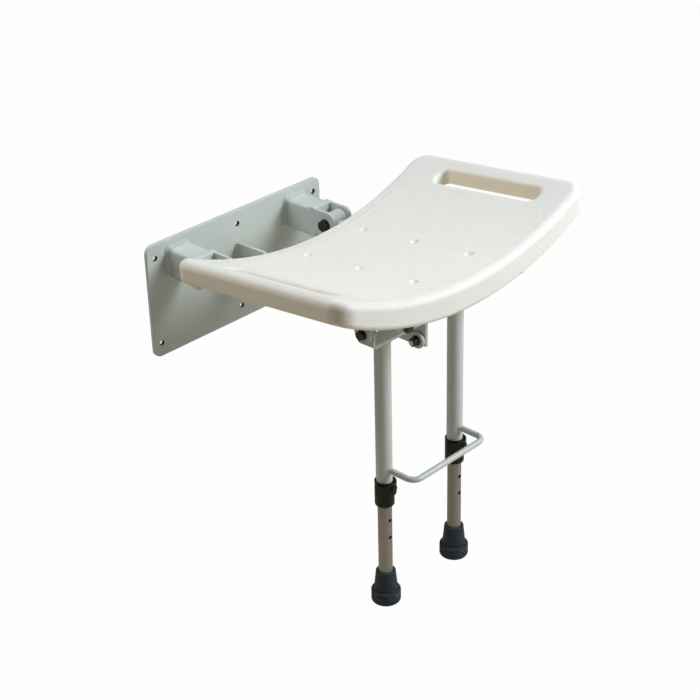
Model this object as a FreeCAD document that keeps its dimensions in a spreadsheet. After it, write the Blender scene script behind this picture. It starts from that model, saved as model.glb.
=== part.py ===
"""A wall-mounted shower seat: a wall plate with two arms, a seat that folds up, and two legs under it.

The frame has +X to the right of someone who faces the wall, +Y into the wall and +Z up. Its origin is the
middle of the wall plate's back face. The seat frame has an own frame too, at the arms' pivot, tilted with the
seat: there +Y runs back along the seat and +Z is square to it.
"""
import FreeCAD
import Part

import math
import os
import re

import Sketcher

# Every size that can be set by itself, in millimetres, degrees or a count
SIZES = {
    # Wall plate with its six screw holes
    "plate_width": 380.0,
    "plate_height": 192.0,
    "plate_thickness": 6.0,
    "plate_corner_radius": 14.0,
    "plate_edge_radius": 1.0,
    "plate_hole_diameter": 9.0,
    "plate_hole_spacing_across": 348.0,
    "plate_hole_spacing_up": 146.0,
    # Arm tubes welded to the plate
    "arm_spacing": 257.0,
    "arm_width": 42.0,
    "arm_height": 50.5,
    "arm_wall": 3.0,
    "arm_corner_radius": 6.0,
    "arm_length": 56.0,
    "arm_middle_height": 56.25,
    "arm_weld_size": 4.5,
    # Forks that close the arm tubes and hold the seat's pivots
    "fork_block_depth": 12.0,
    "fork_block_rise": 2.0,
    "fork_block_edge_radius": 2.5,
    "fork_ear_length": 43.0,
    "fork_ear_thickness": 5.0,
    "fork_ear_corner_radius": 14.0,
    "fork_ear_lower_radius": 20.0,
    "fork_ear_height": 42.0,
    # Seat pivot, with a bush in a boss between the fork's ears
    "pivot_reach": 98.0,
    "pivot_height": 60.0,
    "boss_radius": 17.0,
    "boss_side_gap": 1.5,
    "bush_side_gap": 0.3,
    "bush_wall": 2.0,
    "arm_bolt_radius": 5.0,
    "arm_bolt_flats": 17.0,
    "arm_bolt_head_height": 6.4,
    "arm_nut_height": 9.0,
    "arm_washer_radius": 10.0,
    "arm_washer_thickness": 2.0,
    # Clearances
    "running_fit": 0.05,
    "turning_gap": 0.2,
    "weld_gap": 0.1,
    "seat_gap": 0.3,
    "bolt_stand_out": 2.5,
    "cut_overrun": 2.0,
    # Gusset in the middle of the plate that carries the link
    "bracket_thickness": 5.0,
    "bracket_offset": 1.5,
    "bracket_root_top": 40.0,
    "bracket_root_bottom": 30.0,
    "bracket_edge_reach": 66.0,
    "bracket_edge_height": 42.0,
    "bracket_eye_radius": 15.0,
    "bracket_weld_size": 3.0,
    "link_pivot_reach": 100.0,
    "link_pivot_height": 6.0,
    # Link, a flat bar from the gusset to the legs
    "link_thickness": 5.0,
    "link_height": 26.0,
    "link_shank_height": 16.0,
    "link_spacer_thickness": 1.0,
    "link_bolt_radius": 4.0,
    "link_bolt_flats": 13.0,
    "link_bolt_head_height": 5.3,
    "link_nut_height": 8.0,
    "link_washer_radius": 8.0,
    "link_washer_thickness": 1.6,
    # Leg hinge at the seat frame's lugs
    "leg_hinge_reach": 392.0,
    "leg_hinge_height": 52.0,
    "hinge_plate_width": 30.0,
    "hinge_lug_thickness": 5.0,
    "hinge_washer_thickness": 1.1,
    # Seat frame's rails, end caps and straps
    "rail_spacing": 248.0,
    "rail_radius": 9.5,
    "rail_wall": 2.0,
    "rail_front": 381.0,
    "rail_back": 6.0,
    "cap_length": 6.0,
    "cap_edge_radius": 4.0,
    "cap_plug_length": 14.0,
    "strap_width": 25.0,
    "strap_thickness": 4.0,
    "strap_end_inset": 8.0,
    "front_strap_reach": 283.0,
    "rear_strap_reach": 180.0,
    "screw_side": 40.0,
    "screw_radius": 2.1,
    "screw_length": 18.0,
    "screw_head_radius": 4.5,
    "screw_head_height": 2.6,
    "screw_pillar_radius": 7.0,
    # Moulded seat board
    "seat_tilt": 5.76,
    "board_width": 543.0,
    "board_depth": 334.0,
    "board_back": 70.6,
    "board_rise": 28.7,
    "board_thickness": 36.5,
    "board_wall": 3.0,
    "board_top_arc": 601.0,
    "board_under_arc": 572.0,
    "board_corner_radius": 28.0,
    "board_top_edge_radius": 12.0,
    "board_bottom_edge_radius": 8.0,
    "board_lip_depth": 5.5,
    "board_lip_width": 12.0,
    "board_vent_radius": 3.0,
    "rail_notch_gap": 1.5,
    "link_notch_gap": 2.0,
    "slot_side_margin": 31.5,
    "slot_width": 28.0,
    "slot_length": 198.0,
    "slot_front_margin": 60.0,
    "slot_corner_radius": 12.0,
    "slot_rim_radius": 6.0,
    "grip_margin": 12.0,
    "grip_thickness": 22.5,
    "drain_side": 60.0,
    "drain_pitch": 104.5,
    "drain_radius": 3.0,
    "drain_dimple_radius": 7.5,
    "drain_dimple_depth": 5.0,
    # Cross-bar that joins the legs, with the lug for the link
    "crossbar_thickness": 5.0,
    "crossbar_height": 29.0,
    "crossbar_bend_radius": 7.0,
    "crossbar_hole_radius": 3.5,
    "crossbar_hole_side": 60.0,
    "link_lug_drop": 9.0,
    "link_lug_corner_radius": 9.0,
    # Legs, with the rod that lifts them
    "leg_spacing": 165.0,
    "leg_tube_radius": 12.7,
    "leg_tube_wall": 1.5,
    "leg_tube_bottom": 240.0,
    "rod_radius": 4.8,
    "rod_drop": 190.0,
    "rod_reach": 60.0,
    "rod_bend_radius": 15.0,
    # Collars and spring clips
    "collar_radius": 15.25,
    "collar_top_drop": 211.0,
    "collar_bottom_drop": 254.0,
    "collar_edge_radius": 3.0,
    "clip_wall": 3.0,
    "clip_gap": 0.35,
    "clip_top_drop": 212.0,
    "clip_bottom_drop": 233.0,
    "clip_arm_length": 2.0,
    "clip_edge_radius": 1.0,
    "clip_button_radius": 5.0,
    "clip_button_length": 3.0,
    "pin_drop": 218.2,
    "pin_radius": 3.0,
    "pin_bite": 3.2,
    "pin_hole_gap": 0.3,
    # Lower tubes with their row of height holes
    "lower_tube_wall": 1.5,
    "leg_running_gap": 0.1,
    "lower_tube_top_margin": 20.0,
    "height_pitch": 31.0,
    # Feet
    "floor_drop": 432.4,
    "foot_height": 56.5,
    "foot_flange_radius": 23.3,
    "foot_flange_height": 22.0,
    "foot_cone_radius": 19.0,
    "foot_top_radius": 15.5,
    "foot_edge_radius": 2.0,
    "foot_sole_edge_radius": 4.5,
    "foot_sole": 6.0,
    "foot_ring_height": 16.4,
    "foot_ring_depth": 0.8,
    "foot_ring_width": 1.2,
    "foot_disc_thickness": 2.0,
}
HEIGHT_HOLES_EACH_WAY = 3
NEAR = 0.01

doc = FreeCAD.newDocument("wall_shower_seat")
sheet = doc.addObject("Spreadsheet::Sheet", "sizes")
for row, (name, number) in enumerate(SIZES.items(), 1):
    sheet.set(f"A{row}", name.replace("_", " "))
    sheet.set(f"B{row}", str(number))
    sheet.setAlias(f"B{row}", name)
doc.recompute()

pieces = []


# Sizes and places as expressions

def rule(text):
    """An expression in which each size's name is read from the sheet."""
    def in_sheet(word):
        return f"sizes.{word.group()}" if word.group() in SIZES else word.group()

    return re.sub(r"[a-z_]+", in_sheet, text)


def bind(item, rules):
    """Ties properties of an object to expressions."""
    for path, text in rules.items():
        item.setExpression(path, rule(text))


def value(text):
    """An expression's number at the sheet's present sizes."""
    answer = sheet.evalExpression(rule(text))
    return float(getattr(answer, "Value", answer))


def minus(text):
    """The expression with its sign turned."""
    return f"-({text})"


def touch_point(centre, radius, far, side):
    """Where a line from a far corner touches a round eye, on the eye's left (1) or right (-1) towards it."""
    across = f"(({far[0]}) - ({centre[0]}))"
    up = f"(({far[1]}) - ({centre[1]}))"
    square = f"({across}^2 + {up}^2)"
    along = f"(({radius})^2 / {square})"
    aside = f"({side} * ({radius}) * sqrt({square} - ({radius})^2) / {square})"
    return (f"({centre[0]}) + {along} * {across} - {aside} * {up}",
            f"({centre[1]}) + {along} * {up} + {aside} * {across}")


# Solids along the three axes

TURNS = {"x": ((0, 1, 0), 90.0), "y": ((1, 0, 0), -90.0), "z": ((0, 0, 1), 0.0)}


def along_axis(item, axis, span, places):
    """Lays an upright solid along an axis, over a span, with its centre line at the other two places."""
    turn, angle = TURNS[axis]
    item.Placement = FreeCAD.Placement(FreeCAD.Vector(), FreeCAD.Rotation(FreeCAD.Vector(*turn), angle))
    spots = {"x": "0", "y": "0", "z": "0", **places, axis: span[0]}
    bind(item, {"Height": f"({span[1]}) - ({span[0]})"})
    bind(item, {f"Placement.Base.{name}": text for name, text in spots.items()})
    return item


def round_bar(axis, span, radius, **places):
    """A cylinder along x, y or z."""
    item = doc.addObject("Part::Cylinder", "round_bar")
    bind(item, {"Radius": radius})
    return along_axis(item, axis, span, places)


def hex_bar(axis, span, flats, **places):
    """A hexagonal bar along x, y or z, of a width across its flats, with its corners turned off a little."""
    prism = doc.addObject("Part::Prism", "hex_bar")
    prism.Polygon = 6
    bind(prism, {"Circumradius": f"({flats}) / sqrt(3)"})
    corner_share = "0.54"
    turned = round_bar(axis, span, f"({flats}) * {corner_share}", **places)
    return common(along_axis(prism, axis, span, places), turned)


def block(x, y, z):
    """A box over a span in x, y and z."""
    item = doc.addObject("Part::Box", "block")
    for name, side, span in (("x", "Length", x), ("y", "Width", y), ("z", "Height", z)):
        bind(item, {f"Placement.Base.{name}": span[0], side: f"({span[1]}) - ({span[0]})"})
    return item


def fuse(*items):
    """The items joined to one solid."""
    item = doc.addObject("Part::MultiFuse", "joined")
    item.Shapes = list(items)
    item.Refine = True
    return item


def cut(base, *tools):
    """The base less the tools."""
    item = doc.addObject("Part::Cut", "cut")
    item.Base = base
    item.Tool = tools[0] if len(tools) == 1 else fuse(*tools)
    return item


def common(base, tool):
    """What two solids share."""
    item = doc.addObject("Part::Common", "shared")
    item.Base = base
    item.Tool = tool
    return item


def rounded(base, radius, choose):
    """The base with the chosen edges rounded."""
    doc.recompute()
    size = value(radius)
    item = doc.addObject("Part::Fillet", "rounded")
    item.Base = base
    item.Edges = [(number, size, size) for number, edge in enumerate(base.Shape.Edges, 1) if choose(edge)]
    return item


def mirrored(item):
    """The item's twin on the other side of the middle plane."""
    twin = doc.addObject("Part::Mirroring", "twin")
    twin.Source = item
    twin.Normal = FreeCAD.Vector(1, 0, 0)
    return twin


def group(*items):
    """Separate solids that share a node."""
    item = doc.addObject("Part::Compound", "group")
    item.Links = list(items)
    return item


def tilted(item):
    """The item moved from the seat's own frame to its place on the arms."""
    item.Placement = FreeCAD.Placement(FreeCAD.Vector(), FreeCAD.Rotation(FreeCAD.Vector(1, 0, 0), -1))
    bind(item, {
        "Placement.Base.y": "-pivot_reach",
        "Placement.Base.z": "pivot_height",
        "Placement.Rotation.Angle": "-seat_tilt",
    })
    return item


def finish(label, item):
    """Names a piece and adds it to those that are written."""
    item.Label = label
    pieces.append(item)
    return item


def finish_both(name, left):
    """Names a left piece and its right twin."""
    finish(f"left_{name}", left)
    finish(f"right_{name}", mirrored(left))
    return left


def finish_pair(name, left):
    """Names a left piece and its right twin as one node."""
    return finish(name, group(left, mirrored(left)))


# Bodies with sketches

def lies_at(edge, **places):
    """Whether a whole edge lies at one of the places given for x, y or z."""
    room = edge.BoundBox
    ends = {"x": (room.XMin, room.XMax), "y": (room.YMin, room.YMax), "z": (room.ZMin, room.ZMax)}
    for axis, texts in places.items():
        spots = [value(text) for text in ((texts,) if isinstance(texts, str) else texts)]
        if not any(all(abs(end - spot) < NEAR for end in ends[axis]) for spot in spots):
            return False
    return True


def new_body(name):
    """An empty body."""
    return doc.addObject("PartDesign::Body", name)


def sketch(body, plane, offset, outlines=(), circles=()):
    """A sketch on a plane of the body, with closed outlines of corners and with circles."""
    drawing = body.newObject("Sketcher::SketchObject", "outline")
    home = next(item for item in body.Origin.OriginFeatures if item.Role == f"{plane}_Plane")
    drawing.AttachmentSupport = [(home, "")]
    drawing.MapMode = "FlatFace"
    bind(drawing, {"AttachmentOffset.Base.z": offset})
    for corners in outlines:
        add_outline(drawing, corners)
    for across, up, radius in circles:
        middle = FreeCAD.Vector(value(across), value(up), 0)
        ring = drawing.addGeometry(Part.Circle(middle, FreeCAD.Vector(0, 0, 1), value(radius)), False)
        pin_point(drawing, ring, 3, across, up)
        size = drawing.addConstraint(Sketcher.Constraint("Radius", ring, value(radius)))
        bind(drawing, {f"Constraints[{size}]": radius})
    return drawing


def add_outline(drawing, corners):
    """Draws a closed outline, counter-clockwise. A corner's third value is the radius of the arc it starts."""
    spots = [FreeCAD.Vector(value(corner[0]), value(corner[1]), 0) for corner in corners]
    lines = []
    for number, corner in enumerate(corners):
        start, end = spots[number], spots[number - len(spots) + 1]
        shape = arc(start, end, value(corner[2])) if len(corner) > 2 else Part.LineSegment(start, end)
        lines.append(drawing.addGeometry(shape, False))
    for number, corner in enumerate(corners):
        line = lines[number]
        drawing.addConstraint(Sketcher.Constraint("Coincident", line, 2, lines[number - len(lines) + 1], 1))
        pin_point(drawing, line, 1, corner[0], corner[1])
        if len(corner) > 2:
            size = drawing.addConstraint(Sketcher.Constraint("Radius", line, value(corner[2])))
            bind(drawing, {f"Constraints[{size}]": corner[2]})


def arc(start, end, radius):
    """A short arc that bulges to the right of the way from start to end."""
    across = end - start
    left = FreeCAD.Vector(-across.y, across.x, 0).normalize()
    middle = (start + end) * 0.5 + left * (radius ** 2 - (across.Length / 2) ** 2) ** 0.5
    angles = [math.atan2(spot.y - middle.y, spot.x - middle.x) for spot in (start, end)]
    return Part.ArcOfCircle(Part.Circle(middle, FreeCAD.Vector(0, 0, 1), radius), *angles)


def pin_point(drawing, line, end, across, up):
    """Ties a point of a sketch to its two places."""
    for kind, text, axis in (("DistanceX", across, -2), ("DistanceY", up, -1)):
        if text == "0":
            drawing.addConstraint(Sketcher.Constraint("PointOnObject", line, end, axis))
        else:
            spot = drawing.addConstraint(Sketcher.Constraint(kind, -1, 1, line, end, value(text)))
            bind(drawing, {f"Constraints[{spot}]": text})


def pad(body, plane, offset, length, outlines=(), circles=()):
    """Adds a sketch's area, drawn out from its plane."""
    drawing = sketch(body, plane, offset, outlines, circles)
    feature = body.newObject("PartDesign::Pad", "pad")
    feature.Profile = drawing
    bind(feature, {"Length": length})
    doc.recompute()
    return feature


def pocket(body, plane, outlines=(), circles=()):
    """Cuts a sketch's area right through the body, both ways."""
    drawing = sketch(body, plane, "0", outlines, circles)
    before = body.Shape.Volume
    feature = body.newObject("PartDesign::Pocket", "pocket")
    feature.Profile = drawing
    feature.SideType = "Symmetric"
    feature.Type = "ThroughAll"
    doc.recompute()
    if body.Shape.Volume >= before:
        raise RuntimeError(f"{body.Name}: a pocket cuts nothing")
    return feature


def dress(body, kind, size, **places):
    """Rounds ("Fillet") or bevels ("Chamfer") the body's edges that lie at the places."""
    base = body.Tip
    names = [f"Edge{number}" for number, edge in enumerate(base.Shape.Edges, 1) if lies_at(edge, **places)]
    feature = body.newObject(f"PartDesign::{kind}", kind.lower())
    feature.Base = (base, names)
    bind(feature, {"Radius" if kind == "Fillet" else "Size": size})
    doc.recompute()
    return feature


def rectangle(x, z, radius=None):
    """The corners of a rectangle over a span each way, with round corners if a radius is given."""
    if radius is None:
        return ((x[0], z[0]), (x[1], z[0]), (x[1], z[1]), (x[0], z[1]))
    left, right = f"{x[0]} + ({radius})", f"{x[1]} - ({radius})"
    low, high = f"{z[0]} + ({radius})", f"{z[1]} - ({radius})"
    return ((left, z[0]), (right, z[0], radius), (x[1], low), (x[1], high, radius),
            (right, z[1]), (left, z[1], radius), (x[0], high), (x[0], low, radius))


# Shapes and places that several pieces share

WELD_BEVEL_SHARE = "0.85"
ARM_X = "-arm_spacing / 2"
ARM_SIDES = ("-(arm_spacing + arm_width) / 2", "-(arm_spacing - arm_width) / 2")
ARM_SPAN = ("arm_middle_height - arm_height / 2", "arm_middle_height + arm_height / 2")
BLOCK_BACK = "(plate_thickness + arm_length)"
BLOCK_FRONT = "(plate_thickness + arm_length + fork_block_depth)"
FORK_FRONT = "(plate_thickness + arm_length + fork_block_depth + fork_ear_length)"
EAR_INNER = "(arm_width / 2 - fork_ear_thickness)"
BOSS_SPAN = (f"{ARM_X} - {EAR_INNER} + boss_side_gap", f"{ARM_X} + {EAR_INNER} - boss_side_gap")
BUSH_SPAN = (f"{ARM_X} - {EAR_INNER} + bush_side_gap", f"{ARM_X} + {EAR_INNER} - bush_side_gap")
PIVOT = {"y": "-pivot_reach", "z": "pivot_height"}

BRACKET_X = ("-bracket_offset - bracket_thickness / 2", "-bracket_offset + bracket_thickness / 2")
LINK_FACE = f"{BRACKET_X[0]} - link_spacer_thickness"
LINK_X = (f"{LINK_FACE} - link_thickness", LINK_FACE)
LINK_START = {"y": "-link_pivot_reach", "z": "link_pivot_height"}
LINK_END = {"y": "-(link_pivot_reach + leg_hinge_reach - pivot_reach)",
            "z": "(link_pivot_height + leg_hinge_height - pivot_height)"}

HINGE = {"y": "-leg_hinge_reach", "z": "leg_hinge_height"}
FORWARD = "(leg_hinge_reach - pivot_reach)"
DOWN = "(pivot_height - leg_hinge_height)"
HINGE_ALONG = f"({DOWN} * sin(seat_tilt) - {FORWARD} * cos(seat_tilt))"
HINGE_UP = f"(-{FORWARD} * sin(seat_tilt) - {DOWN} * cos(seat_tilt))"
RAIL_X = "-rail_spacing / 2"
LUG_X = (RAIL_X, f"{RAIL_X} + hinge_lug_thickness")
HINGE_STEP = "(hinge_washer_thickness + 2 * turning_gap)"
CROSSBAR_HALF = f"(rail_spacing / 2 - hinge_lug_thickness - {HINGE_STEP})"
EAR_X = (minus(CROSSBAR_HALF), f"-{CROSSBAR_HALF} + crossbar_thickness")

UNDER_MIDDLE = "(board_rise - board_thickness + board_under_arc)"
TOP_MIDDLE = "(board_rise + board_top_arc)"
RAIL_UP = f"({UNDER_MIDDLE} - sqrt((board_under_arc + seat_gap + rail_radius)^2 - (rail_spacing / 2)^2))"
BOARD_Y = ("-(board_back + board_depth)", "-board_back")
BOARD_MIDDLE = "-(board_back + board_depth / 2)"
SLOT_INNER = "(board_width / 2 - slot_side_margin - slot_width)"

LEG_X = "-leg_spacing / 2"
LEG_Y = "-leg_hinge_reach"
LEG = {"x": LEG_X, "y": LEG_Y}
LOWER_RADIUS = "(leg_tube_radius - leg_tube_wall - leg_running_gap)"
CLIP_INNER = "(collar_radius + clip_gap)"
CLIP_OUTER = "(collar_radius + clip_gap + clip_wall)"


def top_at(x):
    """The height of the board's top over a place across the seat, in the seat's frame."""
    return f"({TOP_MIDDLE} - sqrt(board_top_arc^2 - ({x})^2))"


def under_at(x):
    """The height of the board's underside over a place across the seat, in the seat's frame."""
    return f"({UNDER_MIDDLE} - sqrt(board_under_arc^2 - ({x})^2))"


# Wall plate and arms

def wall_plate():
    """The plate, with rounded corners and six holes."""
    body = new_body("plate_body")
    across = ("-plate_width / 2", "plate_width / 2")
    up = ("-plate_height / 2", "plate_height / 2")
    pad(body, "XZ", "0", "plate_thickness", [rectangle(across, up)])
    dress(body, "Fillet", "plate_corner_radius", x=across, z=up)
    dress(body, "Fillet", "plate_edge_radius", y="-plate_thickness")
    columns = ("-plate_hole_spacing_across / 2", "0", "plate_hole_spacing_across / 2")
    levels = ("-plate_hole_spacing_up / 2", "plate_hole_spacing_up / 2")
    holes = [(column, level, "plate_hole_diameter / 2") for column in columns for level in levels]
    pocket(body, "XZ", circles=holes)
    finish("wall_plate", body)


def arm_tube():
    """A rectangular tube that stands out from the plate, with its weld bead round the root."""
    body = new_body("arm_tube_body")
    bead_x = (f"{ARM_SIDES[0]} - arm_weld_size", f"{ARM_SIDES[1]} + arm_weld_size")
    bead_z = (f"{ARM_SPAN[0]} - arm_weld_size", f"{ARM_SPAN[1]} + arm_weld_size")
    bead = rectangle(bead_x, bead_z, "arm_corner_radius + arm_weld_size")
    pad(body, "XZ", "plate_thickness", "arm_weld_size", [bead])
    dress(body, "Chamfer", f"arm_weld_size * {WELD_BEVEL_SHARE}", y="-plate_thickness - arm_weld_size")
    pad(body, "XZ", "plate_thickness", "arm_length", [rectangle(ARM_SIDES, ARM_SPAN, "arm_corner_radius")])
    bore_x = (f"{ARM_SIDES[0]} + arm_wall", f"{ARM_SIDES[1]} - arm_wall")
    bore_z = (f"{ARM_SPAN[0]} + arm_wall", f"{ARM_SPAN[1]} - arm_wall")
    pocket(body, "XZ", [rectangle(bore_x, bore_z, "arm_corner_radius - arm_wall")])
    finish_both("arm_tube", body)


def arm_fork():
    """The block that closes the tube, with an ear on each side of the pivot boss."""
    body = new_body("arm_fork_body")
    block_top = f"{ARM_SPAN[1]} + fork_block_rise"
    inner_x = (f"{ARM_X} - {EAR_INNER}", f"{ARM_X} + {EAR_INNER}")
    pad(body, "XZ", BLOCK_BACK, "fork_block_depth", [rectangle(ARM_SIDES, (ARM_SPAN[0], block_top))])
    dress(body, "Fillet", "fork_block_edge_radius", z=block_top)
    ear_span = (f"{ARM_SPAN[1]} - fork_ear_height", ARM_SPAN[1])
    ears = [rectangle((ARM_SIDES[0], inner_x[0]), ear_span), rectangle((inner_x[1], ARM_SIDES[1]), ear_span)]
    pad(body, "XZ", BLOCK_FRONT, "fork_ear_length", ears)
    dress(body, "Fillet", "fork_ear_lower_radius", y=minus(FORK_FRONT), z=ear_span[0])
    dress(body, "Fillet", "fork_ear_corner_radius", y=minus(FORK_FRONT), z=ear_span[1])
    pocket(body, "YZ", circles=[("-pivot_reach", "pivot_height", "arm_bolt_radius + running_fit")])
    finish_both("arm_fork", body)


def centre_bracket():
    """The gusset: one plate that narrows to a round eye, with its weld bead at the root."""
    body = new_body("bracket_body")
    eye = ("-link_pivot_reach", "link_pivot_height")
    root = "-plate_thickness"
    edge = ("-bracket_edge_reach", "bracket_edge_height")
    foot = (root, "-bracket_root_bottom")
    outline = [foot, (root, "bracket_root_top"), edge,
               touch_point(eye, "bracket_eye_radius", edge, 1),
               touch_point(eye, "bracket_eye_radius", foot, -1)]
    pad(body, "YZ", BRACKET_X[0], "bracket_thickness", [outline])
    pad(body, "YZ", BRACKET_X[0], "bracket_thickness", circles=[(*eye, "bracket_eye_radius")])
    bead_x = (f"{BRACKET_X[0]} - bracket_weld_size", f"{BRACKET_X[1]} + bracket_weld_size")
    bead = rectangle(bead_x, ("-bracket_root_bottom", "bracket_root_top"))
    pad(body, "XZ", "plate_thickness", "bracket_weld_size", [bead])
    dress(body, "Chamfer", f"bracket_weld_size * {WELD_BEVEL_SHARE}",
          x=bead_x, y="-plate_thickness - bracket_weld_size")
    pocket(body, "YZ", circles=[(*eye, "link_bolt_radius + running_fit")])
    finish("centre_bracket", body)


# Bolts, nuts and washers, all along X

def bolt(head, shank, radius, flats, spot):
    """A hexagon bolt with its head and its shank over a span each."""
    return fuse(hex_bar("x", head, flats, **spot), round_bar("x", shank, radius, **spot))


def nut(span, radius, flats, spot):
    """A hexagon nut."""
    return cut(hex_bar("x", span, flats, **spot), round_bar("x", span, f"{radius} + running_fit", **spot))


def washer(span, radius, outer, spot):
    """A flat washer."""
    return cut(round_bar("x", span, outer, **spot), round_bar("x", span, f"{radius} + running_fit", **spot))


def arm_pivot_hardware():
    """The bolt through each fork: its head is on the inner side, its nut on the outer side."""
    inner, outer = ARM_SIDES[1], ARM_SIDES[0]
    head_seat = f"{inner} + arm_washer_thickness"
    nut_seat = f"{outer} - arm_washer_thickness"
    nut_end = f"{nut_seat} - arm_nut_height"
    finish_pair("arm_pivot_bolts", bolt(
        (head_seat, f"{head_seat} + arm_bolt_head_height"), (f"{nut_end} - bolt_stand_out", head_seat),
        "arm_bolt_radius", "arm_bolt_flats", PIVOT))
    finish_pair("arm_pivot_nuts", nut((nut_end, nut_seat), "arm_bolt_radius", "arm_bolt_flats", PIVOT))
    rings = [washer(span, "arm_bolt_radius", "arm_washer_radius", PIVOT)
             for span in ((inner, head_seat), (nut_seat, outer))]
    finish("arm_pivot_washers", group(*rings, *[mirrored(ring) for ring in rings]))


def link_hardware(name, spot):
    """A bolt from the right through a plate and the link, with a spacer between and a nut on the left."""
    head_seat = BRACKET_X[1]
    nut_seat = f"{LINK_X[0]} - turning_gap - link_washer_thickness"
    nut_end = f"{nut_seat} - link_nut_height"
    finish(f"{name}_bolt", bolt(
        (head_seat, f"{head_seat} + link_bolt_head_height"), (f"{nut_end} - bolt_stand_out", head_seat),
        "link_bolt_radius", "link_bolt_flats", spot))
    finish(f"{name}_nut", nut((nut_end, nut_seat), "link_bolt_radius", "link_bolt_flats", spot))
    spacer = (f"{LINK_X[1]} + turning_gap", BRACKET_X[0])
    outer = (nut_seat, f"{nut_seat} + link_washer_thickness")
    rings = [washer(span, "link_bolt_radius", "link_washer_radius", spot) for span in (spacer, outer)]
    finish(f"{name}_washers", group(*rings))


def leg_hinge_hardware():
    """The bolt at each leg hinge: its head is outside the frame's lug, its nut inside the cross-bar's ear."""
    head_seat = f"{LUG_X[0]} - link_washer_thickness"
    washer_seat = f"{EAR_X[1]} + turning_gap"
    nut_seat = f"{washer_seat} + link_washer_thickness"
    nut_end = f"{nut_seat} + link_nut_height"
    finish_pair("leg_hinge_bolts", bolt(
        (f"{head_seat} - link_bolt_head_height", head_seat), (head_seat, f"{nut_end} + bolt_stand_out"),
        "link_bolt_radius", "link_bolt_flats", HINGE))
    finish_pair("leg_hinge_nuts", nut((nut_seat, nut_end), "link_bolt_radius", "link_bolt_flats", HINGE))
    middle = (f"{LUG_X[1]} + turning_gap", f"{LUG_X[1]} + turning_gap + hinge_washer_thickness")
    rings = [washer(span, "link_bolt_radius", "link_washer_radius", HINGE)
             for span in ((head_seat, LUG_X[0]), middle, (washer_seat, nut_seat))]
    finish("leg_hinge_washers", group(*rings, *[mirrored(ring) for ring in rings]))


# Seat frame, in the seat's own frame

def rail_bar(radius, span=None):
    """A round bar along the left rail's centre line."""
    return round_bar("y", span or ("-rail_front", "-rail_back"), radius, x=RAIL_X, z=RAIL_UP)


def seat_rail():
    """The left rail, a round tube whose back end is coped to the pivot boss."""
    boss = round_bar("x", BOSS_SPAN, "boss_radius + weld_gap")
    tube = cut(rail_bar("rail_radius"), rail_bar("rail_radius - rail_wall"), boss)
    finish_both("seat_rail", tilted(tube))


def pivot_boss():
    """The boss that turns between the fork's ears, and the bush inside it."""
    bore = "arm_bolt_radius + running_fit"
    bush_radius = f"{bore} + bush_wall"
    boss_bore = round_bar("x", BOSS_SPAN, f"{bush_radius} + running_fit")
    finish_both("pivot_boss", tilted(cut(round_bar("x", BOSS_SPAN, "boss_radius"), boss_bore)))
    bush = cut(round_bar("x", BUSH_SPAN, bush_radius), round_bar("x", BUSH_SPAN, bore))
    finish_both("pivot_bush", tilted(bush))


def rail_end_cap():
    """A rubber cap with a plug in the rail's front end."""
    head = rail_bar("rail_radius", ("-rail_front - cap_length", "-rail_front"))
    head = rounded(head, "cap_edge_radius", lambda edge: lies_at(edge, y="-rail_front - cap_length"))
    plug_radius = "rail_radius - rail_wall - running_fit"
    plug = rail_bar(plug_radius, ("-rail_front", "-rail_front + cap_plug_length"))
    finish_both("rail_end_cap", tilted(fuse(head, plug)))


def under_cylinder(radius, span=BOARD_Y):
    """A cylinder about the middle of the underside's arc."""
    return round_bar("y", span, radius, z=UNDER_MIDDLE)


def radial_bar(side, y, radius, span):
    """A round bar square to the underside at the strap screws, over a span of radii that falls inwards."""
    item = doc.addObject("Part::Cylinder", "radial_bar")
    item.Placement = FreeCAD.Placement(FreeCAD.Vector(), FreeCAD.Rotation(FreeCAD.Vector(0, 1, 0), 1))
    angle = "asin(screw_side / board_under_arc)"
    bind(item, {
        "Radius": radius,
        "Height": f"({span[0]}) - ({span[1]})",
        "Placement.Rotation.Angle": f"{-side} * {angle}",
        "Placement.Base.x": f"{side} * ({span[0]}) * screw_side / board_under_arc",
        "Placement.Base.y": y,
        "Placement.Base.z": f"{UNDER_MIDDLE} - ({span[0]}) * cos({angle})",
    })
    return item


STRAP_TOP = "board_under_arc + seat_gap"
STRAP_BOTTOM = "board_under_arc + seat_gap + strap_thickness"
SCREW_PLACES = [(side, y) for y in ("-front_strap_reach", "-rear_strap_reach") for side in (-1, 1)]


def cross_strap(label, reach):
    """A curved flat bar under the board, welded between the rails, with two screw holes."""
    span = (f"-{reach} - strap_width / 2", f"-{reach} + strap_width / 2")
    half = "rail_spacing / 2 - strap_end_inset"
    floor = f"{UNDER_MIDDLE} - ({STRAP_BOTTOM})"
    room = block((minus(half), half), span, (floor, f"{floor} + board_thickness"))
    arc = cut(under_cylinder(STRAP_BOTTOM, span), under_cylinder(STRAP_TOP, span))
    rail = rail_bar("rail_radius + weld_gap", span)
    holes = [radial_bar(side, f"-{reach}", "screw_radius + running_fit",
                        (f"{STRAP_BOTTOM} + cut_overrun", f"{STRAP_TOP} - cut_overrun")) for side in (-1, 1)]
    finish(label, tilted(cut(common(arc, room), rail, mirrored(rail), *holes)))


def seat_screws():
    """The four screws that hold the board on its straps."""
    screws = []
    for side, y in SCREW_PLACES:
        head = radial_bar(side, y, "screw_head_radius", (f"{STRAP_BOTTOM} + screw_head_height", STRAP_BOTTOM))
        shank = radial_bar(side, y, "screw_radius", (STRAP_BOTTOM, f"{STRAP_BOTTOM} - screw_length"))
        screws.append(fuse(head, shank))
    finish("seat_screws", tilted(group(*screws)))


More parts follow.
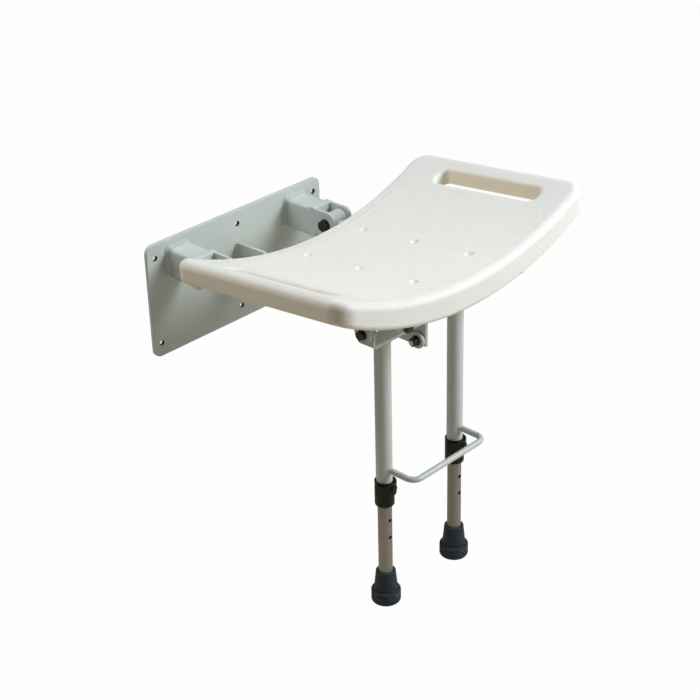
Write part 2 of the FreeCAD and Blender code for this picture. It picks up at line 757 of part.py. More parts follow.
def hinge_lug():
    """The plate below a rail that carries a leg hinge."""
    half = "hinge_plate_width / 2"
    side = (f"{HINGE_ALONG} - {half}", f"{HINGE_ALONG} + {half}")
    spot = {"y": HINGE_ALONG, "z": HINGE_UP}
    plate = fuse(block(LUG_X, side, (HINGE_UP, RAIL_UP)), round_bar("x", LUG_X, half, **spot))
    bolt_hole = round_bar("x", LUG_X, "link_bolt_radius + running_fit", **spot)
    finish_both("hinge_lug", tilted(cut(plate, rail_bar("rail_radius + weld_gap"), bolt_hole)))


# Seat board, in the seat's own frame

def board_prism(inset, corner):
    """The board's plan, drawn out upwards, less an inset all round."""
    across = (f"-board_width / 2 + {inset}", f"board_width / 2 - {inset}")
    along = (f"{BOARD_Y[0]} + {inset}", f"{BOARD_Y[1]} - {inset}")
    prism = block(across, along, ("-board_thickness", "board_width / 2"))
    return rounded(prism, corner, lambda edge: lies_at(edge, x=across, y=along))


def board_arc(prism, under, top):
    """What a prism has between the underside's arc and the top's arc."""
    wide = (f"{BOARD_Y[0]} - cut_overrun", f"{BOARD_Y[1]} + cut_overrun")
    return cut(common(prism, under_cylinder(under, wide)), round_bar("y", wide, top, z=TOP_MIDDLE))


def on_arc(edge, radius, middle):
    """Whether a whole edge lies on a cylinder along Y of the radius, about a height."""
    size = value(radius)
    height = value(middle)
    steps = [edge.valueAt(edge.FirstParameter + share * (edge.LastParameter - edge.FirstParameter))
             for share in (0.0, 0.5, 1.0)]
    return all(abs((spot.x ** 2 + (spot.z - height) ** 2) ** 0.5 - size) < NEAR for spot in steps)


def slot_prism(grow):
    """The left handle slot's outline, drawn out upwards and grown all round."""
    across = (f"-{SLOT_INNER} - slot_width - {grow}", f"-{SLOT_INNER} + {grow}")
    front = "-(board_back + board_depth) + slot_front_margin"
    along = (f"{front} - {grow}", f"{front} + slot_length + {grow}")
    prism = block(across, along, ("-board_thickness", "board_width / 2"))
    return rounded(prism, f"slot_corner_radius + {grow}", lambda edge: lies_at(edge, x=across, y=along))


def grip_pocket(grow):
    """The recess under the left handle slot, which leaves a thinner bar to grip, grown all round."""
    across = (f"-board_width / 2 + board_lip_width - {grow}", f"-{SLOT_INNER} + grip_margin + {grow}")
    front = "-(board_back + board_depth) + slot_front_margin"
    along = (f"{front} - grip_margin - {grow}", f"{front} + slot_length + grip_margin + {grow}")
    wide = (f"{along[0]} - cut_overrun", f"{along[1]} + cut_overrun")
    grip = round_bar("y", wide, f"board_top_arc + grip_thickness - {grow}", z=TOP_MIDDLE)
    return cut(block(across, along, ("-board_thickness", "board_width / 2")), grip)


def drain_places():
    """The places of the six drain holes."""
    rows = [f"{BOARD_MIDDLE} + {row} * drain_pitch" for row in (-1, 0, 1)]
    return [(x, y) for x in ("-drain_side", "drain_side") for y in rows]


def seat_board():
    """The hollow board: saddle top, recessed underside with a lip, two handle slots and six drain holes."""
    lip_arc = "board_under_arc + board_lip_depth"
    outside = board_arc(board_prism("0", "board_corner_radius"), lip_arc, "board_top_arc")
    outside = rounded(outside, "board_top_edge_radius",
                      lambda edge: on_arc(edge, "board_top_arc", TOP_MIDDLE))
    outside = rounded(outside, "board_bottom_edge_radius",
                      lambda edge: on_arc(edge, lip_arc, UNDER_MIDDLE))
    recess_plan = board_prism("board_lip_width", "board_corner_radius - board_lip_width")
    wide = (f"{BOARD_Y[0]} - cut_overrun", f"{BOARD_Y[1]} + cut_overrun")
    link_notch = block((f"{LINK_X[0]} - link_notch_gap", f"{LINK_X[1]} + link_notch_gap"),
                       (f"{BOARD_Y[1]} - 2 * board_lip_width", f"{BOARD_Y[1]} + cut_overrun"),
                       ("-board_thickness", "board_width / 2"))
    recess = cut(fuse(recess_plan, link_notch), under_cylinder("board_under_arc", wide))
    notch = rail_bar("rail_radius + rail_notch_gap", ("-rail_front", "0"))
    slot = slot_prism("0")
    pocket_under = grip_pocket("0")
    shell = cut(outside, recess, notch, mirrored(notch), slot, mirrored(slot),
                pocket_under, mirrored(pocket_under))
    slot_top = value(top_at(SLOT_INNER)) - value("board_wall")
    slot_side = value(SLOT_INNER) - NEAR
    shell = rounded(shell, "slot_rim_radius",
                    lambda edge: (on_arc(edge, "board_top_arc", TOP_MIDDLE) and edge.BoundBox.ZMin > slot_top
                                  and min(abs(edge.BoundBox.XMin), abs(edge.BoundBox.XMax)) > slot_side
                                  and in_slot(edge)))
    void = board_void()
    drains = []
    for x, y in drain_places():
        deep = f"{top_at('drain_side')} - drain_dimple_depth"
        drains.append(round_bar("z", ("-board_thickness", deep), "drain_radius", x=x, y=y))
        drains.append(dimple(x, y, deep))
    pilots = [radial_bar(side, y, "screw_radius + running_fit",
                         ("board_under_arc + cut_overrun", f"{STRAP_BOTTOM} - screw_length - running_fit"))
              for side, y in SCREW_PLACES]
    vent = round_bar("z", ("-board_thickness", f"{under_at('0')} + board_thickness / 2"), "board_vent_radius",
                     y=f"{BOARD_MIDDLE} + drain_pitch / 2")
    finish("seat_board", tilted(cut(shell, void, vent, *drains, *pilots)))


def in_slot(edge):
    """Whether an edge's middle is inside the handle slots' outline."""
    middle = edge.valueAt((edge.FirstParameter + edge.LastParameter) / 2)
    front = value("-(board_back + board_depth) + slot_front_margin")
    inside_along = front - NEAR < middle.y < front + value("slot_length") + NEAR
    inside_across = value(SLOT_INNER) - NEAR < abs(middle.x) < value(f"{SLOT_INNER} + slot_width") + NEAR
    return inside_along and inside_across


def dimple(x, y, deep):
    """The countersink of a drain hole, drawn past the top at the same slope."""
    cone = doc.addObject("Part::Cone", "dimple")
    bind(cone, {"Radius1": "drain_radius", "Radius2": "2 * drain_dimple_radius - drain_radius"})
    return along_axis(cone, "z", (deep, f"{deep} + 2 * drain_dimple_depth"), {"x": x, "y": y})


def board_void():
    """The space inside the board's wall, less the pillars round holes and screws and the slots' walls."""
    plan = board_prism("board_wall", "board_corner_radius - board_wall")
    space = board_arc(plan, "board_under_arc - board_wall", "board_top_arc + board_wall")
    space = rounded(space, "board_top_edge_radius - board_wall",
                    lambda edge: on_arc(edge, "board_top_arc + board_wall", TOP_MIDDLE))
    slot = slot_prism("board_wall")
    pocket_under = grip_pocket("board_wall")
    tall = ("-board_thickness", "board_width / 2")
    drain_pillar = "drain_dimple_radius + board_wall / 2"
    pillars = [round_bar("z", tall, drain_pillar, x=x, y=y) for x, y in drain_places()]
    half_way = ("board_under_arc", "board_under_arc - board_thickness / 2")
    pillars += [radial_bar(side, y, "screw_pillar_radius", half_way) for side, y in SCREW_PLACES]
    return cut(space, slot, mirrored(slot), pocket_under, mirrored(pocket_under), *pillars)


# Link and the legs' cross-bar

def link_bar():
    """The flat link with wider round ends, modelled level from its wall end and then sloped to its leg end."""
    length = f"sqrt({FORWARD}^2 + {DOWN}^2)"
    half = "link_height / 2"
    shank = "link_shank_height / 2"
    ends = [{"y": "0"}, {"y": minus(length)}]
    bar = fuse(block(LINK_X, (minus(length), "0"), (minus(shank), shank)),
               *[round_bar("x", LINK_X, half, **spot) for spot in ends])
    holes = [round_bar("x", LINK_X, "link_bolt_radius + running_fit", **spot) for spot in ends]
    item = cut(bar, *holes)
    item.Placement = FreeCAD.Placement(FreeCAD.Vector(), FreeCAD.Rotation(FreeCAD.Vector(1, 0, 0), 1))
    bind(item, {
        "Placement.Base.y": LINK_START["y"],
        "Placement.Base.z": LINK_START["z"],
        "Placement.Rotation.Angle": f"atan({DOWN} / {FORWARD})",
    })
    finish("link_bar", item)


def leg_crossbar():
    """The bent bar on top of the legs, whose two ears turn on the leg hinges."""
    body = new_body("crossbar_body")
    web = ("crossbar_height", "crossbar_height + crossbar_thickness")
    ear_top = "leg_hinge_height"
    outer = (EAR_X[0], minus(EAR_X[0]))
    inner = (EAR_X[1], minus(EAR_X[1]))
    section = [(outer[0], web[0]), (outer[1], web[0]), (outer[1], ear_top), (inner[1], ear_top),
               (inner[1], web[1]), (inner[0], web[1]), (inner[0], ear_top), (outer[0], ear_top)]
    pad(body, "XZ", "leg_hinge_reach - hinge_plate_width / 2", "hinge_plate_width", [section])
    hinge = ("-leg_hinge_reach", "leg_hinge_height")
    for start in (EAR_X[0], minus(EAR_X[1])):
        pad(body, "YZ", start, "crossbar_thickness", circles=[(*hinge, "hinge_plate_width / 2")])
    dress(body, "Fillet", "crossbar_bend_radius", x=outer, z=web[0])
    dress(body, "Fillet", "crossbar_bend_radius - crossbar_thickness", x=inner, z=web[1])
    pocket(body, "YZ", circles=[(*hinge, "link_bolt_radius + running_fit")])
    pocket(body, "XY", circles=[(f"{side} * crossbar_hole_side", "-leg_hinge_reach", "crossbar_hole_radius")
                                for side in (-1, 1)])
    finish("leg_crossbar", body)


def link_lug():
    """The lug under the cross-bar that the link's leg end turns on."""
    body = new_body("link_lug_body")
    side = ("-leg_hinge_reach - hinge_plate_width / 2", "-leg_hinge_reach + hinge_plate_width / 2")
    bottom = f"{LINK_END['z']} - link_lug_drop"
    pad(body, "YZ", BRACKET_X[0], "bracket_thickness", [rectangle(side, (bottom, "crossbar_height"))])
    dress(body, "Fillet", "link_lug_corner_radius", y=side[1], z=bottom)
    pocket(body, "YZ", circles=[(LINK_END["y"], LINK_END["z"], "link_bolt_radius + running_fit")])
    finish("link_lug", body)


# Legs

def leg_tube():
    """The upper tube of a leg, with the pin's hole in its front."""
    span = ("-leg_tube_bottom", "crossbar_height")
    front = f"{LEG_Y} - leg_tube_radius - cut_overrun"
    pin_hole = round_bar("y", (front, LEG_Y), "pin_radius + pin_hole_gap", x=LEG_X, z="-pin_drop")
    tube = cut(round_bar("z", span, "leg_tube_radius", **LEG),
               round_bar("z", span, "leg_tube_radius - leg_tube_wall", **LEG), pin_hole)
    finish_both("leg_tube", tube)


def lift_rod():
    """The rod bent to a U between the legs' fronts."""
    height = "-rod_drop"
    bar_y = f"{LEG_Y} - rod_reach"
    bend_y = f"{bar_y} + rod_bend_radius"
    bend_x = "leg_spacing / 2 - rod_bend_radius"
    solids = [round_bar("x", (minus(bend_x), bend_x), "rod_radius", y=bar_y, z=height)]
    for side, turn in ((-1, 180.0), (1, 270.0)):
        solids.append(round_bar("y", (bend_y, LEG_Y), "rod_radius", x=f"{side} * leg_spacing / 2", z=height))
        bend = doc.addObject("Part::Torus", "bend")
        bend.Angle3 = 90.0
        bend.Placement = FreeCAD.Placement(FreeCAD.Vector(), FreeCAD.Rotation(FreeCAD.Vector(0, 0, 1), turn))
        bind(bend, {
            "Radius1": "rod_bend_radius",
            "Radius2": "rod_radius",
            "Placement.Base.x": f"{side} * ({bend_x})",
            "Placement.Base.y": bend_y,
            "Placement.Base.z": height,
        })
        solids.append(bend)
    span = (f"{height} - 2 * rod_radius", f"{height} + 2 * rod_radius")
    leg = round_bar("z", span, "leg_tube_radius + weld_gap", **LEG)
    finish("lift_rod", cut(fuse(*solids), leg, mirrored(leg)))


def collar():
    """The moulded sleeve at a leg tube's end, which guides the lower tube and the clip's pin."""
    span = ("-collar_bottom_drop", "-collar_top_drop")
    sleeve = rounded(round_bar("z", span, "collar_radius", **LEG), "collar_edge_radius",
                     lambda edge: lies_at(edge, z="-collar_bottom_drop"))
    upper = round_bar("z", ("-leg_tube_bottom", "-collar_top_drop"), "leg_tube_radius + running_fit", **LEG)
    lower = round_bar("z", span, "leg_tube_radius - leg_tube_wall", **LEG)
    front = f"{LEG_Y} - collar_radius - cut_overrun"
    pin_hole = round_bar("y", (front, LEG_Y), "pin_radius + pin_hole_gap", x=LEG_X, z="-pin_drop")
    finish_both("collar", cut(sleeve, upper, lower, pin_hole))


def leg_clip():
    """The spring clip: a band open at the back, with a pin on its inside and a button on its front."""
    span = ("-clip_bottom_drop", "-clip_top_drop")
    back = f"{LEG_Y} + clip_arm_length"

    def channel(half, end):
        arms = block((f"{LEG_X} - {half}", f"{LEG_X} + {half}"), (LEG_Y, end), span)
        return fuse(round_bar("z", span, half, **LEG), arms)

    front = f"{LEG_Y} - {CLIP_OUTER}"
    room = block((f"{LEG_X} - {CLIP_OUTER}", f"{LEG_X} + {CLIP_OUTER}"), (front, back), span)
    band = cut(common(channel(CLIP_OUTER, back), room), channel(CLIP_INNER, f"{back} + {CLIP_OUTER}"))
    band = rounded(band, "clip_edge_radius", lambda edge: lies_at(edge, z=span))
    spot = {"x": LEG_X, "z": "-pin_drop"}
    wall_middle = f"{LEG_Y} - {CLIP_INNER} - clip_wall / 2"
    pin = round_bar("y", (wall_middle, f"{LEG_Y} - {LOWER_RADIUS} + pin_bite"), "pin_radius", **spot)
    button = round_bar("y", (f"{front} - clip_button_length", wall_middle), "clip_button_radius", **spot)
    finish_both("leg_clip", fuse(band, pin, button))


def lower_tube():
    """The lower tube of a leg, with its row of height holes in front."""
    margin = f"{HEIGHT_HOLES_EACH_WAY} * height_pitch + lower_tube_top_margin"
    span = ("-floor_drop + foot_sole + foot_disc_thickness", f"-pin_drop + {margin}")
    holes = [round_bar("y", (f"{LEG_Y} - leg_tube_radius", LEG_Y), "pin_radius + pin_hole_gap",
                       x=LEG_X, z=f"-pin_drop + {step} * height_pitch")
             for step in range(-HEIGHT_HOLES_EACH_WAY, HEIGHT_HOLES_EACH_WAY + 1)]
    tube = cut(round_bar("z", span, LOWER_RADIUS, **LEG),
               round_bar("z", span, f"{LOWER_RADIUS} - lower_tube_wall", **LEG), *holes)
    finish_both("lower_tube", tube)


def foot():
    """The rubber foot, a flange with a tapered socket, and the steel disc under the tube's end."""
    sole = "-floor_drop"
    shoulder = f"{sole} + foot_flange_height"
    top = f"{sole} + foot_height"
    floor = f"{sole} + foot_sole"
    flange = rounded(round_bar("z", (sole, shoulder), "foot_flange_radius", **LEG), "foot_sole_edge_radius",
                     lambda edge: lies_at(edge, z=sole))
    flange = rounded(flange, "foot_edge_radius", lambda edge: lies_at(edge, z=shoulder))
    taper = doc.addObject("Part::Cone", "taper")
    bind(taper, {"Radius1": "foot_cone_radius", "Radius2": "foot_top_radius"})
    taper = along_axis(taper, "z", (shoulder, top), LEG)
    taper = rounded(taper, "foot_edge_radius / 2", lambda edge: lies_at(edge, z=top))
    socket = round_bar("z", (floor, top), f"{LOWER_RADIUS} + running_fit", **LEG)
    ring_span = (f"{sole} + foot_ring_height", f"{sole} + foot_ring_height + foot_ring_width")
    ring = cut(round_bar("z", ring_span, "foot_flange_radius + cut_overrun", **LEG),
               round_bar("z", ring_span, "foot_flange_radius - foot_ring_depth", **LEG))
    finish_both("foot", cut(fuse(flange, taper), socket, ring))
    finish_both("foot_disc", round_bar("z", (floor, f"{floor} + foot_disc_thickness"), LOWER_RADIUS, **LEG))


wall_plate()
arm_tube()
arm_fork()
centre_bracket()
arm_pivot_hardware()
link_hardware("bracket_pivot", LINK_START)
seat_board()
seat_rail()
pivot_boss()
rail_end_cap()
cross_strap("front_cross_strap", "front_strap_reach")
cross_strap("rear_cross_strap", "rear_strap_reach")
seat_screws()
hinge_lug()
leg_hinge_hardware()
link_bar()
leg_crossbar()
link_lug()
link_hardware("lug_pivot", LINK_END)
leg_tube()
lift_rod()
collar()
leg_clip()
lower_tube()
foot()
doc.recompute()

for item in doc.Objects:
    if {"Invalid", "Error"} & set(item.State):
        raise RuntimeError(f"{item.Name} ({item.Label}) failed: {item.State}")
for piece in pieces:
    if piece.Shape.isNull() or not piece.Shape.isValid():
        raise RuntimeError(f"{piece.Label} has no valid shape")

os.makedirs("parts", exist_ok=True)
for piece in pieces:
    piece.Shape.exportStep(f"parts/{piece.Label}.step")
    print(piece.Label, len(piece.Shape.Solids), round(piece.Shape.Volume))
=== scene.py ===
"""The looks of a wall-mounted shower seat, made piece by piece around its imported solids."""
import math

import bmesh
import bpy
from mathutils import Matrix, Vector


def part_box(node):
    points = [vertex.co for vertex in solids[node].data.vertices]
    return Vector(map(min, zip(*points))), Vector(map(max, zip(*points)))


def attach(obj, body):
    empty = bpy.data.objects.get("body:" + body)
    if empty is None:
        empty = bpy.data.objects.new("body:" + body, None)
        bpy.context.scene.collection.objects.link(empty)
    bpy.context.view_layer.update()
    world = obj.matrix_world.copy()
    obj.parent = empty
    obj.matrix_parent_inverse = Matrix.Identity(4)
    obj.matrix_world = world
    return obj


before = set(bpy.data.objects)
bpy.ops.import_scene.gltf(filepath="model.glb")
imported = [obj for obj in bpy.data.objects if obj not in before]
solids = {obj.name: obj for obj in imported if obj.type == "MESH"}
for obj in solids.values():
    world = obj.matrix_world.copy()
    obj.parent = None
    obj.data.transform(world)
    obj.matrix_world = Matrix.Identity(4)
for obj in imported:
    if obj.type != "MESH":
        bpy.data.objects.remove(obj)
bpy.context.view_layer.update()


# The view and the studio: a seat photographed from its left front, a little above, on a white ground.
# The floor and the air are white to the camera, and pale and warm to the light that they give back.

floor_colour = (0.62, 0.56, 0.45, 1.0)
floor_white_share = 0.975
floor_half_width = 9.0
floor_gap = 0.0005
air_colour = (1.0, 0.96, 0.88, 1.0)
air_strength = 0.13
white = (1.0, 1.0, 1.0, 1.0)

camera_data = bpy.data.cameras.new("camera")
camera_data.lens = 85.341
camera_data.sensor_width = 36.0
camera_data.clip_end = 40.0
camera = bpy.data.objects.new("camera", camera_data)
camera.location = (-1.6456, -1.8211, 1.1410)
camera.rotation_euler = [math.radians(turn) for turn in (61.9286, 1.3218, -47.0048)]
bpy.context.scene.collection.objects.link(camera)
bpy.context.scene.camera = camera
bpy.context.scene.view_settings.view_transform = "Standard"


def new_material(name):
    """An empty material with its node tree, and the output that its shader goes to."""
    material = bpy.data.materials.new(name)
    material.use_nodes = True
    material.node_tree.nodes.clear()
    return material, material.node_tree, material.node_tree.nodes.new("ShaderNodeOutputMaterial")


def add(tree, kind, settings=(), **inputs):
    """A shader node with its settings, whose inputs get a number, a colour or another node's output.

    An input is given by its name, or by i and its number where several have the same name.
    """
    node = tree.nodes.new(kind)
    for name, setting in dict(settings).items():
        setattr(node, name, setting)
    for name, given in inputs.items():
        place = int(name[1:]) if name[0] == "i" and name[1:].isdigit() else name.replace("_", " ")
        if isinstance(given, bpy.types.NodeSocket):
            tree.links.new(given, node.inputs[place])
        else:
            node.inputs[place].default_value = given
    return node


def calc(tree, operation, *given):
    """What a Math node makes of numbers or other nodes' outputs."""
    inputs = {f"i{number}": value for number, value in enumerate(given)}
    return add(tree, "ShaderNodeMath", {"operation": operation}, **inputs).outputs[0]


def seen_directly(tree):
    """1 where the camera sees the surface, through clear matter too, and 0 where light bounces from it."""
    path = add(tree, "ShaderNodeLightPath")
    return calc(tree, "MAXIMUM", path.outputs["Is Camera Ray"], path.outputs["Is Transmission Ray"])


floor_material, tree, out = new_material("studio_floor")
floor_paint = add(tree, "ShaderNodeBsdfDiffuse", Color=floor_colour)
floor_glow = add(tree, "ShaderNodeEmission", Color=white, Strength=1.0)
floor_share = calc(tree, "MULTIPLY", seen_directly(tree), floor_white_share)
floor_mix = add(tree, "ShaderNodeMixShader", Fac=floor_share, i1=floor_paint.outputs[0], i2=floor_glow.outputs[0])
tree.links.new(floor_mix.outputs[0], out.inputs["Surface"])

bm = bmesh.new()
bmesh.ops.create_grid(bm, x_segments=1, y_segments=1, size=floor_half_width)
bmesh.ops.translate(bm, verts=bm.verts, vec=(0.0, 0.0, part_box("left_foot")[0].z - floor_gap))
floor_mesh = bpy.data.meshes.new("studio_floor")
bm.to_mesh(floor_mesh)
bm.free()
floor = bpy.data.objects.new("studio_floor", floor_mesh)
floor_mesh.materials.append(floor_material)
bpy.context.scene.collection.objects.link(floor)

air = bpy.data.worlds.new("studio_air")
air.use_nodes = True
air.node_tree.nodes.clear()
tree = air.node_tree
air_out = add(tree, "ShaderNodeOutputWorld")
air_dim = add(tree, "ShaderNodeBackground", Color=air_colour, Strength=air_strength)
air_white = add(tree, "ShaderNodeBackground", Color=white, Strength=1.0)
air_mix = add(tree, "ShaderNodeMixShader", Fac=seen_directly(tree), i1=air_dim.outputs[0], i2=air_white.outputs[0])
tree.links.new(air_mix.outputs[0], air_out.inputs["Surface"])
bpy.context.scene.world = air

seat_middle = Vector((0.0, -0.25, -0.05))
for name, place, width, power, colour in (
        ("side_softbox", (0.95, -1.62, 1.08), 0.9, 38.0, (0.96, 0.985, 1.0)),
        ("top_softbox", (-0.60, 0.70, 1.70), 1.2, 27.5, (0.97, 0.99, 1.0))):
    lamp_data = bpy.data.lights.new(name, "AREA")
    lamp_data.size = width
    lamp_data.energy = power
    lamp_data.color = colour
    lamp = bpy.data.objects.new(name, lamp_data)
    lamp.location = place
    lamp.rotation_euler = (seat_middle - Vector(place)).to_track_quat("-Z", "Y").to_euler()
    bpy.context.scene.collection.objects.link(lamp)


# The painted steel: plate, arms, forks, gusset, seat frame, link and legs all have one light grey-green powder
# coat. It is satin, with a fine orange-peel skin, and paler on worn edges. The walls of the plate's drilled holes
# are painted near-black, as painted shade inside the holes.

paint_tone = (0.530, 0.588, 0.578, 1.0)
paint_worn_tone = (0.61, 0.645, 0.635, 1.0)
paint_wear = 0.55
peel_height = 0.00006
# The holes' near-black is painted shade, not a colour of the steel.
hole_shade_tone = (0.020, 0.024, 0.020, 1.0)
hole_column = 0.174
hole_level = 0.073
hole_radius = 0.0045
hole_rim_share = 1.04
plate_limit = -0.0069

COLOUR, NUMBER, ARROW = "NodeSocketColor", "NodeSocketFloat", "NodeSocketVector"


def new_group(name, inputs, outputs):
    """An empty node group with its sockets, its input node and its output node."""
    group = bpy.data.node_groups.new(name, "ShaderNodeTree")
    for label, kind, start in inputs:
        socket = group.interface.new_socket(label, in_out="INPUT", socket_type=kind)
        socket.default_value = start
    for label, kind in outputs:
        group.interface.new_socket(label, in_out="OUTPUT", socket_type=kind)
    return group, group.nodes.new("NodeGroupInput"), group.nodes.new("NodeGroupOutput")


def place_group(tree, group, **inputs):
    """A copy of a node group in a material."""
    node = tree.nodes.new("ShaderNodeGroup")
    node.node_tree = group
    for name, given in inputs.items():
        socket = node.inputs[name.replace("_", " ")]
        if isinstance(given, bpy.types.NodeSocket):
            tree.links.new(given, socket)
        else:
            socket.default_value = given
    return node


# Worn edges: how sharply the surface turns within a small radius, broken up so that wear comes in patches
worn_edges, given, made = new_group(
    "worn_edges", [("Place", ARROW, (0, 0, 0)), ("Radius", NUMBER, 0.0012), ("Patch Scale", NUMBER, 90.0)],
    [("Wear", NUMBER)])
turned = add(worn_edges, "ShaderNodeBevel", {"samples": 4}, Radius=given.outputs["Radius"])
plain = add(worn_edges, "ShaderNodeNewGeometry")
alike = add(worn_edges, "ShaderNodeVectorMath", {"operation": "DOT_PRODUCT"},
            i0=turned.outputs[0], i1=plain.outputs["Normal"])
edge = add(worn_edges, "ShaderNodeMapRange", Value=alike.outputs["Value"], From_Min=0.985, From_Max=0.80)
patches = add(worn_edges, "ShaderNodeTexNoise", Vector=given.outputs["Place"], Scale=given.outputs["Patch Scale"],
              Detail=3.0)
patch = add(worn_edges, "ShaderNodeMapRange", Value=patches.outputs["Fac"], From_Min=0.42, From_Max=0.62)
worn_edges.links.new(calc(worn_edges, "MULTIPLY", edge.outputs[0], patch.outputs[0]), made.inputs["Wear"])

# Uneven finish: a slow drift of tone over a piece, and smudges that drift its gloss
noise_middle = 0.5
uneven_finish, given, made = new_group(
    "uneven_finish",
    [("Place", ARROW, (0, 0, 0)), ("Colour", COLOUR, (0.5, 0.5, 0.5, 1.0)), ("Drift", NUMBER, 0.05),
     ("Drift Scale", NUMBER, 9.0), ("Roughness", NUMBER, 0.4), ("Roughness Drift", NUMBER, 0.08)],
    [("Colour", COLOUR), ("Roughness", NUMBER)])
slow = add(uneven_finish, "ShaderNodeTexNoise", Vector=given.outputs["Place"], Scale=given.outputs["Drift Scale"],
           Detail=4.0)
centred = calc(uneven_finish, "SUBTRACT", slow.outputs["Fac"], noise_middle)
tone = calc(uneven_finish, "MULTIPLY_ADD", centred, given.outputs["Drift"], 1.0)
drifted = add(uneven_finish, "ShaderNodeVectorMath", {"operation": "SCALE"}, i0=given.outputs["Colour"], Scale=tone)
smudges = add(uneven_finish, "ShaderNodeTexNoise", Vector=given.outputs["Place"], Scale=38.0, Detail=5.0)
smudge = calc(uneven_finish, "SUBTRACT", smudges.outputs["Fac"], noise_middle)
gloss = calc(uneven_finish, "MULTIPLY_ADD", smudge, given.outputs["Roughness Drift"], given.outputs["Roughness"])
uneven_finish.links.new(drifted.outputs["Vector"], made.inputs["Colour"])
uneven_finish.links.new(gloss, made.inputs["Roughness"])


def place_of(tree):
    """Where a point is on the piece, in metres."""
    return add(tree, "ShaderNodeTexCoord").outputs["Object"]


def skin(tree, height, distance):
    """A normal bumped by a height, which is in units of the distance."""
    return add(tree, "ShaderNodeBump", Strength=1.0, Distance=distance, Height=height).outputs["Normal"]


def mixed(tree, share, under, over):
    """One colour laid over another by a share from 0 to 1."""
    return add(tree, "ShaderNodeMix", {"data_type": "RGBA"}, Factor=share, i6=under, i7=over).outputs[2]


def distance(tree, one_way, other_way):
    """How far a point is from 0, which is so far off in two ways square to each other."""
    both = add(tree, "ShaderNodeCombineXYZ", X=one_way, Y=other_way)
    return add(tree, "ShaderNodeVectorMath", {"operation": "LENGTH"}, i0=both.outputs[0]).outputs["Value"]


paint, tree, out = new_material("grey_green_paint")
place = place_of(tree)
coat = place_group(tree, uneven_finish, Place=place, Colour=paint_tone, Drift=0.10, Drift_Scale=7.0,
                   Roughness=0.36, Roughness_Drift=0.16)
rubbed = place_group(tree, worn_edges, Place=place, Radius=0.0011, Patch_Scale=70.0)
rub_share = calc(tree, "MULTIPLY", rubbed.outputs["Wear"], paint_wear)
paint_colour = mixed(tree, rub_share, coat.outputs["Colour"], paint_worn_tone)
peel = add(tree, "ShaderNodeTexNoise", Vector=place, Scale=620.0, Detail=2.0)

# The holes lie in three columns and two levels, alike on both sides of the plate's middle
spot = add(tree, "ShaderNodeSeparateXYZ", Vector=place)
across = calc(tree, "ABSOLUTE", spot.outputs["X"])
to_outer_column = calc(tree, "ABSOLUTE", calc(tree, "SUBTRACT", across, hole_column))
to_column = calc(tree, "MINIMUM", to_outer_column, across)
to_level = calc(tree, "SUBTRACT", calc(tree, "ABSOLUTE", spot.outputs["Z"]), hole_level)
near_hole = calc(tree, "LESS_THAN", distance(tree, to_column, to_level), hole_radius * hole_rim_share)
in_plate = calc(tree, "GREATER_THAN", spot.outputs["Y"], plate_limit)
# Painted shade: inside the plate's holes the colour is near-black.
painted = mixed(tree, calc(tree, "MULTIPLY", near_hole, in_plate), paint_colour, hole_shade_tone)
paint_shader = add(tree, "ShaderNodeBsdfPrincipled", Base_Color=painted, Roughness=coat.outputs["Roughness"],
                   Normal=skin(tree, peel.outputs["Fac"], peel_height))
tree.links.new(paint_shader.outputs[0], out.inputs["Surface"])


def finish_solids(material, *names):
    """Gives the solids of these names their finish."""
    for name in names:
        for place in solids[name].material_slots:
            place.material = material


finish_solids(paint, "wall_plate", "left_arm_tube", "right_arm_tube", "left_arm_fork", "right_arm_fork",
              "centre_bracket", "link_bar", "left_seat_rail", "right_seat_rail", "left_pivot_boss",
              "right_pivot_boss", "front_cross_strap", "rear_cross_strap", "left_hinge_lug", "right_hinge_lug",
              "leg_crossbar", "link_lug", "left_leg_tube", "right_leg_tube", "lift_rod")


# The bolts, nuts and washers: blackened steel at the arms, the leg hinges and the link's nuts, and zinc on the
# link's two bolts, the seat screws and the discs in the feet. Heads are worn at their corners, and shanks are
# threaded.

def sideways(tree):
    """How far a face looks along X, from 0 to 1: the ends of a bolt do, and its round side doesn't."""
    facing = add(tree, "ShaderNodeSeparateXYZ", Vector=add(tree, "ShaderNodeNewGeometry").outputs["True Normal"])
    return calc(tree, "ABSOLUTE", facing.outputs["X"])


def steel(name, colour, worn_colour, roughness, pitch, thread_share=0.06, end_limit=0.5):
    """A plated or blackened steel, paler on worn corners, with thread lines of the pitch along X."""
    material, tree, out = new_material(name)
    place = place_of(tree)
    plating = place_group(tree, uneven_finish, Place=place, Colour=colour, Drift=0.35, Drift_Scale=60.0,
                          Roughness=roughness, Roughness_Drift=0.25)
    rubbed = place_group(tree, worn_edges, Place=place, Radius=0.0007, Patch_Scale=240.0)
    metal = mixed(tree, rubbed.outputs["Wear"], plating.outputs["Colour"], worn_colour)
    along = add(tree, "ShaderNodeSeparateXYZ", Vector=place)
    crests = calc(tree, "SINE", calc(tree, "MULTIPLY", along.outputs["X"], 2 * math.pi / pitch))
    thread = calc(tree, "MULTIPLY", crests, calc(tree, "LESS_THAN", sideways(tree), end_limit))
    shader = add(tree, "ShaderNodeBsdfPrincipled", Base_Color=metal, Metallic=1.0,
                 Roughness=plating.outputs["Roughness"], Normal=skin(tree, thread, pitch * thread_share))
    tree.links.new(shader.outputs[0], out.inputs["Surface"])
    return material


